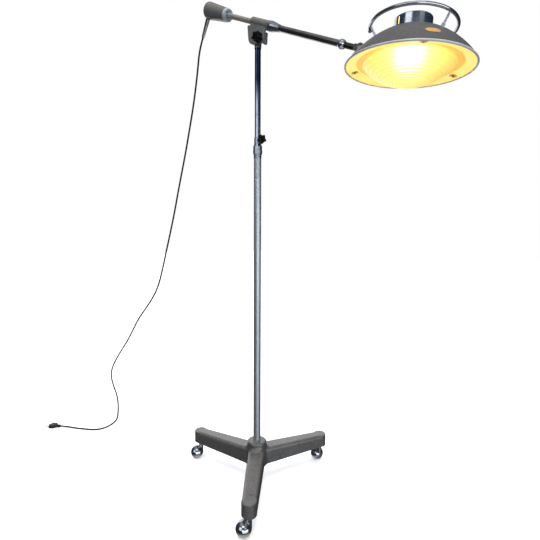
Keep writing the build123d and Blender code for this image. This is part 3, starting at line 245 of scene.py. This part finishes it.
def plated(name, colour, low, high, tarnish, scale=CLOUD_SCALE, metallic=1.0):
    """Plated or bare metal with cloudy gloss and tarnish specks."""
    material, tree, shader = new_material(name)
    place = place_coordinates(tree)
    clouds = noise(tree, place, scale, 5.0, 0.6)
    shade = ramp(tree, clouds, [(CLOUD_LOW, tarnish), (CLOUD_HIGH, colour)])
    specks = grey_ramp(tree, noise(tree, place, 310.0, 3.0, 0.5), [(0.71, 0.0), (0.76, 0.55)])
    shade = mix_colours(tree, specks, shade, tuple(SPECK_DARKENING * c for c in tarnish))
    tree.links.new(shade, shader.inputs["Base Color"])
    gloss = grey_ramp(tree, clouds, [(0.35, high), (0.65, low)])
    tree.links.new(gloss, shader.inputs["Roughness"])
    shader.inputs["Metallic"].default_value = metallic
    polish_marks(tree, shader, place)
    return material


def mast_plated_with_painted_reflection(name):
    """Polished steel tube, with a painted dark reflection towards its top."""
    material, tree, shader = new_material(name)
    place = place_coordinates(tree)
    split = add(tree, "ShaderNodeSeparateXYZ")
    tree.links.new(place, split.inputs["Vector"])
    clouds = noise(tree, place, CLOUD_SCALE, 5.0, 0.6)
    bright = ramp(tree, clouds, [(CLOUD_LOW, (0.62, 0.64, 0.68)), (CLOUD_HIGH, (0.80, 0.82, 0.86))])
    painted_dark_reflection = ramp(tree, clouds, [(CLOUD_LOW, (0.03, 0.045, 0.08)), (CLOUD_HIGH, (0.055, 0.075, 0.13))])
    # Painted dark reflection: the base colour turns dark blue near the top of the mast, blended in by height
    rise = fade(tree, split.outputs["Z"], MAST_DARK_FROM, MAST_DARK_FULL)
    tree.links.new(mix_colours(tree, rise, bright, painted_dark_reflection), shader.inputs["Base Color"])
    gloss = grey_ramp(tree, clouds, [(0.35, 0.16), (0.65, 0.08)])
    tree.links.new(gloss, shader.inputs["Roughness"])
    shader.inputs["Metallic"].default_value = 1.0
    polish_marks(tree, shader, place)
    return material


def moulded(name, dark, light, roughness, scale=GRAIN_SCALE, relief=0.12, specular=0.5):
    """Moulded plastic or rubber with fine grain."""
    material, tree, shader = new_material(name)
    place = place_coordinates(tree)
    grain = noise(tree, place, scale, 4.0, 0.6)
    tree.links.new(ramp(tree, grain, [(0.3, dark), (0.7, light)]), shader.inputs["Base Color"])
    gloss = grey_ramp(tree, noise(tree, place, 30.0), [(0.3, roughness - 0.06), (0.7, roughness + 0.06)])
    tree.links.new(gloss, shader.inputs["Roughness"])
    shader.inputs["Specular IOR Level"].default_value = specular
    bump(tree, shader, grain, relief, RELIEF_COARSE)
    return material


def head_coordinates(tree):
    """Coordinates in the head's own frame, so that radius is measured from its axis."""
    mapping = add(tree, "ShaderNodeMapping", vector_type="TEXTURE")
    mapping.inputs["Location"].default_value = HEAD_CENTRE
    mapping.inputs["Rotation"].default_value = (0.0, HEAD_NOD, 0.0)
    tree.links.new(place_coordinates(tree), mapping.inputs["Vector"])
    split = add(tree, "ShaderNodeSeparateXYZ")
    tree.links.new(mapping.outputs["Vector"], split.inputs["Vector"])
    across = math(tree, "MULTIPLY", split.outputs["X"], split.outputs["X"])
    along = math(tree, "MULTIPLY", split.outputs["Y"], split.outputs["Y"])
    radius = math(tree, "SQRT", math(tree, "ADD", across, along))
    return mapping.outputs["Vector"], radius


def lit_lens(name):
    """Pressed glass over the bulb, with the bulb's light in it painted as a glow: painted highlights paler
    on its ribs, painted shade amber on the flat shoulder round the dome.
    """
    material, tree, shader = new_material(name)
    place, radius = head_coordinates(tree)
    share = math(tree, "DIVIDE", radius, LENS_RADIUS)
    edge = DOME_RADIUS / LENS_RADIUS
    painted_shoulder_shade = grey_ramp(tree, share, [(edge - 0.02, 0.0), (edge + 0.02, 1.0)])
    turn = math(tree, "MULTIPLY", radius, 2.0 * pi / RIB_PITCH)
    rib = math(tree, "MULTIPLY_ADD", math(tree, "COSINE", turn), 0.5)
    rib.node.inputs[2].default_value = 0.5
    # Painted rib highlights: paler and more orange bands in step with the ribs
    painted_rib_highlights = ramp(tree, rib, [(0.0, (1.0, 0.76, 0.42)), (1.0, (1.0, 0.62, 0.28))])
    streaks = grey_ramp(tree, noise(tree, place, 60.0), [(0.3, 0.92), (0.7, 1.0)])
    clear = mix_colours(tree, 1.0, painted_rib_highlights, streaks, "MULTIPLY")
    # Painted shade: amber on the flat shoulder round the dome
    tint = mix_colours(tree, painted_shoulder_shade, clear, (0.84, 0.46, 0.12))
    tree.links.new(tint, shader.inputs["Base Color"])
    # Painted glow of the bulb's light, turning amber towards the rim
    glow = ramp(tree, share, [
        (0.0, (1.0, 0.74, 0.24)), (0.6, (1.0, 0.72, 0.20)),
        (edge, (1.0, 0.46, 0.10)), (1.0, (0.98, 0.42, 0.09))])
    tree.links.new(glow, shader.inputs["Emission Color"])
    fall = grey_ramp(tree, share, [(0.0, 0.42), (0.6, 0.34), (edge, 0.40), (1.0, 0.45)])
    tree.links.new(fall, shader.inputs["Emission Strength"])
    shader.inputs["Roughness"].default_value = GLASS_ROUGHNESS
    shader.inputs["IOR"].default_value = GLASS_IOR
    shader.inputs["Transmission Weight"].default_value = GLASS_TRANSMISSION
    return material


def lit_enamel(name):
    """Cream enamel ring, with a painted warm glow of the light beside it."""
    material, tree, shader = new_material(name)
    place = place_coordinates(tree)
    patches = noise(tree, place, 26.0, 5.0, 0.6)
    colour = ramp(tree, patches, [(0.3, (0.66, 0.55, 0.34)), (0.7, (0.82, 0.73, 0.52))])
    tree.links.new(colour, shader.inputs["Base Color"])
    # Painted glow of the lamp's light on the ring
    painted_warm_glow = ramp(tree, patches, [(0.3, (1.0, 0.80, 0.15)), (0.7, (1.0, 0.90, 0.20))])
    tree.links.new(painted_warm_glow, shader.inputs["Emission Color"])
    shader.inputs["Emission Strength"].default_value = RING_GLOW
    shader.inputs["Roughness"].default_value = 0.45
    bump(tree, shader, noise(tree, place, 240.0), 0.06, RELIEF_MIDDLE)
    return material


def lit_bowl(name):
    """Spun reflector with the bulb's light painted on it, brightest round the bulb's neck."""
    material, tree, shader = new_material(name)
    place, radius = head_coordinates(tree)
    share = math(tree, "DIVIDE", radius, LENS_RADIUS)
    spun = grey_ramp(tree, noise(tree, place, 30.0), [(0.3, 0.88), (0.7, 1.0)])
    # Painted pool of the bulb's light, used for both colour and glow
    light = ramp(tree, share, [
        (0.15, (1.0, 0.80, 0.46)), (0.5, (0.82, 0.60, 0.28)), (0.95, (0.50, 0.34, 0.13))])
    light = mix_colours(tree, 1.0, light, spun, "MULTIPLY")
    tree.links.new(light, shader.inputs["Base Color"])
    tree.links.new(light, shader.inputs["Emission Color"])
    shader.inputs["Emission Strength"].default_value = BOWL_GLOW
    shader.inputs["Roughness"].default_value = 0.40
    return material


def lit_brass(name):
    """Brass clip with brown specks, and a painted warm glow of the light from the glass beside it."""
    material, tree, shader = new_material(name)
    place = place_coordinates(tree)
    specks = noise(tree, place, 260.0, 4.0, 0.6)
    colour = ramp(tree, specks, [(0.35, (0.30, 0.12, 0.02)), (0.62, (0.80, 0.44, 0.10))])
    tree.links.new(colour, shader.inputs["Base Color"])
    # Painted glow: the clip's own colour, lit up as light from the glass
    tree.links.new(colour, shader.inputs["Emission Color"])
    shader.inputs["Emission Strength"].default_value = CLIP_GLOW
    shader.inputs["Roughness"].default_value = 0.38
    shader.inputs["Metallic"].default_value = 0.3
    bump(tree, shader, specks, 0.05, RELIEF_FINE)
    return material


def rubber_with_painted_shade_side(name):
    """Grey rubber sleeve, with one side painted near black as painted shade."""
    material, tree, shader = new_material(name)
    place = place_coordinates(tree)
    reach = add(tree, "ShaderNodeVectorMath", operation="DOT_PRODUCT")
    tree.links.new(place, reach.inputs[0])
    reach.inputs[1].default_value = RELIEF_SHADE_SIDE
    # Painted shade: near black on the side that the given direction points to
    shade_side_share = fade(tree, reach.outputs["Value"], *RELIEF_SHADE_EDGE)
    grain = noise(tree, place, GRAIN_SCALE, 4.0, 0.6)
    sleeve = ramp(tree, grain, [(0.3, (0.42, 0.40, 0.36)), (0.7, (0.54, 0.51, 0.46))])
    painted_shade_colour = ramp(tree, grain, [(0.3, (0.008, 0.008, 0.008)), (0.7, (0.020, 0.020, 0.020))])
    tree.links.new(mix_colours(tree, shade_side_share, sleeve, painted_shade_colour), shader.inputs["Base Color"])
    shader.inputs["Roughness"].default_value = 0.55
    bump(tree, shader, grain, 0.12, RELIEF_COARSE)
    return material


def lamp_glow(name, colour, strength):
    """Glowing inner surface with a little unevenness."""
    material, tree, shader = new_material(name)
    place = place_coordinates(tree)
    warm = tuple(0.8 * c for c in colour)
    shades = ramp(tree, noise(tree, place, 20.0), [(0.3, warm), (0.7, colour)])
    tree.links.new(shades, shader.inputs["Emission Color"])
    tree.links.new(shades, shader.inputs["Base Color"])
    shader.inputs["Emission Strength"].default_value = strength
    return material


# Materials
paint_grey = hammertone("hammertone_grey", (0.158, 0.154, 0.148), (0.268, 0.260, 0.250), metallic=0.45)
paint_weight = hammertone("hammertone_weight", (0.212, 0.204, 0.192), (0.346, 0.330, 0.308), cell=0.0022)
paint_tube = hammertone(
    "hammertone_tube", (0.520, 0.550, 0.575), (0.740, 0.775, 0.805),
    cell=0.0024, roughness=0.34, metallic=0.75)
paint_shade = hammertone(
    "hammertone_shade", (0.110, 0.107, 0.106), (0.184, 0.178, 0.176), cell=0.0024, roughness=0.42)
paint_rod = moulded("rod_paint", (0.33, 0.305, 0.265), (0.43, 0.40, 0.35), 0.40, relief=0.05)
paint_rim = moulded("rim_paint", (0.80, 0.82, 0.86), (0.88, 0.90, 0.94), 0.30, relief=0.05)
chrome = plated("chrome", (0.80, 0.81, 0.83), 0.07, 0.16, (0.62, 0.63, 0.65))
chrome_dark = plated("chrome_dark", (0.56, 0.53, 0.49), 0.08, 0.18, (0.36, 0.33, 0.29))
satin_steel = plated("satin_steel", (0.60, 0.62, 0.66), 0.24, 0.36, (0.46, 0.48, 0.52))
# Handle posts: near white and barely metallic, a painted sheen standing in for the plated posts' bright
# reflection
post_steel_painted_sheen = plated("post_steel_painted_sheen", (0.95, 0.97, 1.0), 0.30, 0.42, (0.84, 0.87, 0.92), metallic=0.1)
cap_chrome = plated("cap_chrome", (0.78, 0.79, 0.81), 0.13, 0.22, (0.62, 0.63, 0.65))
mast_chrome = mast_plated_with_painted_reflection("mast_chrome")
bare_steel = plated("bare_steel", (0.80, 0.86, 0.94), 0.34, 0.48, (0.66, 0.71, 0.78), metallic=0.3)
bronze_dark = plated("bronze_dark", (0.16, 0.14, 0.12), 0.26, 0.40, (0.08, 0.07, 0.06))
zinc_steel = plated("zinc_steel", (0.50, 0.50, 0.49), 0.30, 0.45, (0.32, 0.32, 0.31))
knob_black = moulded("knob_phenolic", (0.004, 0.004, 0.004), (0.010, 0.010, 0.010), 0.22, specular=0.25)
nylon = moulded("nylon", (0.60, 0.58, 0.52), (0.70, 0.68, 0.62), 0.50)
wheel_grey = moulded("wheel_plastic", (0.13, 0.13, 0.12), (0.20, 0.20, 0.18), 0.42)
tread_grey = moulded("tread_rubber", (0.22, 0.21, 0.19), (0.32, 0.31, 0.28), 0.66, scale=220.0, relief=0.3)
cream = lit_enamel("lens_ring_cream")
lens_glass = lit_lens("lens_glass")
clip_metal = lit_brass("clip_brass")
badge_brass = plated(
    "badge_brass", (0.96, 0.58, 0.18), 0.34, 0.48, (0.42, 0.26, 0.12), scale=240.0, metallic=0.2)
pin_nickel = plated("pin_nickel", (0.62, 0.58, 0.48), 0.20, 0.32, (0.46, 0.42, 0.33))
spun_bowl = lit_bowl("reflector_bowl")
holder_white = moulded("lampholder", (0.66, 0.62, 0.52), (0.76, 0.72, 0.62), 0.32)
slot_light = lamp_glow("slot_glow", (1.0, 0.62, 0.14), SLOT_GLOW)
bulb_light = lamp_glow("bulb_glow", (1.0, 0.86, 0.62), BULB_GLOW)
relief_grey = rubber_with_painted_shade_side("relief_rubber")
cord_black = moulded(
    "cord_sheath", (0.010, 0.010, 0.010), (0.022, 0.022, 0.022), 0.72,
    scale=300.0, relief=0.04, specular=0.2)
plug_black = moulded("plug_plastic", (0.012, 0.012, 0.012), (0.028, 0.028, 0.028), 0.48)


def each_caster(*pieces):
    """Names of the given pieces on all three casters."""
    return ["caster_%s_%d" % (piece, number) for piece in pieces for number in (1, 2, 3)]


FINISHES = {
    paint_grey: ("base_casting", "pivot_eye", "head_bracket"),
    paint_weight: ("counterweight", "arm_clamp"),
    paint_tube: ("outer_tube",),
    paint_shade: ("shade",),
    paint_rim: ("rim_ring",),
    paint_rod: ("rear_rod",),
    chrome: ("ball_ferrule", "handle_ring", *each_caster("stem", "hood")),
    cap_chrome: ("vent_cap",),
    chrome_dark: ("front_tube",),
    mast_chrome: ("inner_tube",),
    satin_steel: ("tube_collar", "tube_ferrule", "coupling_nut"),
    post_steel_painted_sheen: ("handle_posts",),
    bronze_dark: ("end_fork", "clip_screws"),
    bare_steel: ("counterweight_ring",),
    zinc_steel: (
        "hub_nut", "height_screw", "set_screws", "pivot_bolt", "pivot_nut", "counterweight_screw",
        "fork_pin", "fork_nut", "bracket_screws", *each_caster("axle")),
    knob_black: ("height_knob", "tilt_knob"),
    nylon: ("guide_bush", "mast_plug"),
    wheel_grey: each_caster("wheel"),
    tread_grey: each_caster("tyre"),
    cream: ("lens_ring",),
    lens_glass: ("lens",),
    clip_metal: ("lens_clips",),
    badge_brass: ("badge_plate",),
    spun_bowl: ("reflector",),
    holder_white: ("lampholder",),
    bulb_light: ("bulb",),
    relief_grey: ("strain_relief",),
    cord_black: ("mains_cord",),
    plug_black: ("plug_body",),
    pin_nickel: ("plug_pins",),
}
for finish, names in FINISHES.items():
    for name in names:
        materials = nodes[name].data.materials
        materials.clear()
        materials.append(finish)

# The lit glass stays out of the metal's mirror images, and the bulb lights only its own glass
for name in ("lens", "lens_ring", "lens_clips", "bulb", "reflector"):
    nodes[name].visible_glossy = False
for name in ("bulb", "reflector"):
    nodes[name].visible_diffuse = False


def linked_piece(name, work):
    """Object with the worked mesh, in the scene."""
    bmesh.ops.recalc_face_normals(work, faces=work.faces)
    mesh = bpy.data.meshes.new(name)
    work.to_mesh(mesh)
    work.free()
    piece = bpy.data.objects.new(name, mesh)
    bpy.context.scene.collection.objects.link(piece)
    return piece


# Painted light in the vent slots: a curved glowing amber strip behind each
def slot_strip(name, angle):
    """Curved glowing strip behind one vent slot, against the cap's wall, painted light seen through the
    slot.
    """
    work = bmesh.new()
    loops = []
    for step in range(SLOT_STEPS + 1):
        turn = angle + (2.0 * step / SLOT_STEPS - 1.0) * SLOT_HALF_WIDTH / SLOT_OUTER
        outward = Vector((cos(turn), sin(turn), 0.0))
        low = Vector((0.0, 0.0, SLOT_LOW))
        high = Vector((0.0, 0.0, SLOT_HIGH))
        corners = (
            SLOT_INNER * outward + low, SLOT_OUTER * outward + low,
            SLOT_OUTER * outward + high, SLOT_INNER * outward + high)
        loops.append([work.verts.new(corner) for corner in corners])
    for first, second in zip(loops, loops[1:]):
        for index in range(4):
            following = (index + 1) % 4
            work.faces.new((first[index], second[index], second[following], first[following]))
    work.faces.new(loops[0])
    work.faces.new(tuple(reversed(loops[-1])))
    work.transform(Matrix.Translation(HEAD_CENTRE) @ Matrix.Rotation(HEAD_NOD, 4, "Y"))
    return linked_piece(name, work)


for number, angle in enumerate(SLOT_ANGLES, start=1):
    strip = slot_strip("slot_light_%d" % number, angle)
    strip.data.materials.append(slot_light)
    strip.visible_diffuse = False
    strip.visible_glossy = False
    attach(strip, "head")


# Mains lead: a tube along the route's own smooth spline
def smooth_route(points):
    """Points along one NURBS spline through the route's control points."""
    curve = bpy.data.curves.new("cord_route", "CURVE")
    curve.dimensions = "3D"
    curve.resolution_u = CORD_RESOLUTION
    spline = curve.splines.new("NURBS")
    spline.points.add(len(points) - 1)
    for spot, place in zip(spline.points, points):
        spot.co = (*place, 1.0)
    spline.order_u = CORD_ORDER
    spline.use_endpoint_u = True
    guide = bpy.data.objects.new("cord_route", curve)
    bpy.context.scene.collection.objects.link(guide)
    bpy.context.view_layer.update()
    drawn = bpy.data.meshes.new_from_object(guide.evaluated_get(bpy.context.evaluated_depsgraph_get()))
    line = [vertex.co.copy() for vertex in drawn.vertices]
    bpy.data.meshes.remove(drawn)
    bpy.data.objects.remove(guide)
    bpy.data.curves.remove(curve)
    return line


def tube_mesh(name, line, radius, sides):
    """Closed tube around a line of points, with frames carried along it."""
    tangents = []
    for index in range(len(line)):
        before = line[max(index - 1, 0)]
        after = line[min(index + 1, len(line) - 1)]
        tangents.append((after - before).normalized())
    side = tangents[0].orthogonal().normalized()
    work = bmesh.new()
    rings = []
    for spot, tangent in zip(line, tangents):
        side = (side - tangent * side.dot(tangent)).normalized()
        other = tangent.cross(side)
        ring = []
        for step in range(sides):
            turn = 2 * pi * step / sides
            ring.append(work.verts.new(spot + radius * (cos(turn) * side + sin(turn) * other)))
        rings.append(ring)
    for first, second in zip(rings, rings[1:]):
        for step in range(sides):
            following = (step + 1) % sides
            work.faces.new((first[step], first[following], second[following], second[step]))
    work.faces.new(tuple(reversed(rings[0])))
    work.faces.new(tuple(rings[-1]))
    piece = linked_piece(name, work)
    for face in piece.data.polygons:
        face.use_smooth = True
    return piece


cord_line = smooth_route(CORD_ROUTE)
lead = tube_mesh("mains_lead", cord_line, CORD_DIAMETER / 2, CORD_SIDES)
lead.data.materials.append(cord_black)
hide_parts("mains_cord")
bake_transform(lead)

# Floor
FLOOR_HALF = 15.0
FLOOR_COLOUR = (0.93, 0.96, 1.0, 1.0)
FLOOR_ROUGHNESS = 0.9
FLOOR_GLOW_COLOUR = (1.0, 1.0, 1.0, 1.0)
FLOOR_GLOW = 0.45
floor_mesh = bpy.data.meshes.new("floor")
floor_corners = [
    (-FLOOR_HALF, -FLOOR_HALF, 0), (FLOOR_HALF, -FLOOR_HALF, 0),
    (FLOOR_HALF, FLOOR_HALF, 0), (-FLOOR_HALF, FLOOR_HALF, 0)]
floor_mesh.from_pydata(floor_corners, [], [(0, 1, 2, 3)])
floor = bpy.data.objects.new("floor", floor_mesh)
bpy.context.scene.collection.objects.link(floor)
floor_finish, _, floor_shader = new_material("floor_white")
floor_shader.inputs["Base Color"].default_value = FLOOR_COLOUR
floor_shader.inputs["Roughness"].default_value = FLOOR_ROUGHNESS
floor_shader.inputs["Emission Color"].default_value = FLOOR_GLOW_COLOUR
floor_shader.inputs["Emission Strength"].default_value = FLOOR_GLOW
floor.data.materials.append(floor_finish)
floor.visible_diffuse = False
floor.visible_glossy = False

# The room that bright metal mirrors: dim walls, soft windows, a lamp box overhead, a floor dark far off
ROOM_WALL = (0.022, 0.032, 0.058)
ROOM_TOP = (0.30, 0.31, 0.33)
ROOM_FLOOR_FAR = (0.030, 0.030, 0.032)
ROOM_FLOOR_NEAR = (0.42, 0.42, 0.42)
WALL_RISE = (0.45, 0.95)
GROUND_REACH = (-0.95, -0.55)
HORIZON = (-0.06, 0.01)
BACKDROP = (1.0, 1.0, 1.0)

# Windows, laid over one another in this order: light, the way it faces, half its width, and the heights
# where its lower and its upper edge begin and end
WINDOWS = (
    ((0.78, 0.88, 1.00), radians(334.0), radians(38.0), (-0.55, -0.35, 0.02, 0.12)),
    ((2.50, 2.66, 2.78), radians(334.0), radians(38.0), (-0.16, 0.00, 0.07, 0.12)),
    ((0.72, 0.82, 0.98), radians(281.0), radians(37.0), (0.06, 0.10, 0.29, 0.35)),
    ((1.24, 1.34, 1.48), radians(262.0), radians(18.0), (0.32, 0.38, 0.50, 0.64)),
    ((0.62, 0.70, 0.80), radians(341.0), radians(15.0), (0.34, 0.40, 0.52, 0.64)),
    ((0.92, 0.95, 1.00), radians(140.0), radians(30.0), (-0.50, -0.30, 0.50, 0.70)),
    ((1.9, 1.87, 1.80), radians(303.0), radians(22.0), (0.70, 0.75, 0.86, 0.90)),
)
WINDOW_EDGE = radians(4.5)

world = bpy.data.worlds.new("studio")
bpy.context.scene.world = world
world.use_nodes = True
room = world.node_tree
direction = add(room, "ShaderNodeTexCoord").outputs["Generated"]
compass = add(room, "ShaderNodeSeparateXYZ")
room.links.new(direction, compass.inputs["Vector"])
east = compass.outputs["X"]
north = compass.outputs["Y"]
height = compass.outputs["Z"]
east_square = math(room, "MULTIPLY", east, east)
north_square = math(room, "MULTIPLY", north, north)
level = math(room, "SQRT", math(room, "ADD", east_square, north_square))


def window_share(facing, half, heights):
    """Share of a soft-edged window, by how near a direction is to the way it lies."""
    eastward = math(room, "MULTIPLY", east, cos(facing))
    northward = math(room, "MULTIPLY", north, sin(facing))
    near = math(room, "DIVIDE", math(room, "ADD", eastward, northward), level)
    across = fade(room, near, cos(half + WINDOW_EDGE), cos(half - WINDOW_EDGE))
    sill_low, sill_high, head_low, head_high = heights
    sill = fade(room, height, sill_low, sill_high)
    lintel = math(room, "SUBTRACT", 1.0, fade(room, height, head_low, head_high))
    return math(room, "MULTIPLY", across, math(room, "MULTIPLY", sill, lintel))


walls = mix_colours(room, fade(room, height, *WALL_RISE), ROOM_WALL, ROOM_TOP)
ground = mix_colours(room, fade(room, height, *GROUND_REACH), ROOM_FLOOR_NEAR, ROOM_FLOOR_FAR)
surround = mix_colours(room, fade(room, height, *HORIZON), ground, walls)
for light, facing, half, heights in WINDOWS:
    surround = mix_colours(room, window_share(facing, half, heights), surround, light)
seen = add(room, "ShaderNodeLightPath").outputs["Is Camera Ray"]
surround = mix_colours(room, seen, surround, BACKDROP)
room.links.new(surround, room.nodes["Background"].inputs["Color"])


# Broad soft light from above, a little toward the camera, and a weaker one from behind
def soft_sun(name, energy, spread, colour, travel):
    """Sun with a wide disc that shines along a direction and stays out of mirror images."""
    data = bpy.data.lights.new(name, "SUN")
    data.energy = energy
    data.angle = radians(spread)
    data.color = colour
    lamp = bpy.data.objects.new(name, data)
    lamp.rotation_euler = Vector(travel).to_track_quat("-Z", "Y").to_euler()
    lamp.visible_glossy = False
    bpy.context.scene.collection.objects.link(lamp)


soft_sun("overhead", energy=2.50, spread=50.0, colour=(1.0, 0.945, 0.885), travel=(-0.134, 0.159, -0.978))
soft_sun("fill", energy=1.2, spread=80.0, colour=(1.0, 0.985, 0.97), travel=(0.527, -0.628, -0.574))

# Camera
camera_data = bpy.data.cameras.new("camera")
camera_data.lens = CAMERA_LENS
camera_data.sensor_width = CAMERA_SENSOR
camera_data.clip_start = CAMERA_NEAR
camera = bpy.data.objects.new("camera", camera_data)
bpy.context.scene.collection.objects.link(camera)
forward = CAMERA_AIM.normalized()
level_right = forward.cross(Vector((0.0, 0.0, 1.0))).normalized()
level_up = level_right.cross(forward)
right = (level_right + CAMERA_ROLL * level_up).normalized()
up = right.cross(forward)
camera.matrix_world = Matrix.Translation(CAMERA_PLACE) @ Matrix((right, up, -forward)).transposed().to_4x4()
bpy.context.scene.camera = camera
bpy.context.scene.view_settings.view_transform = "Standard"
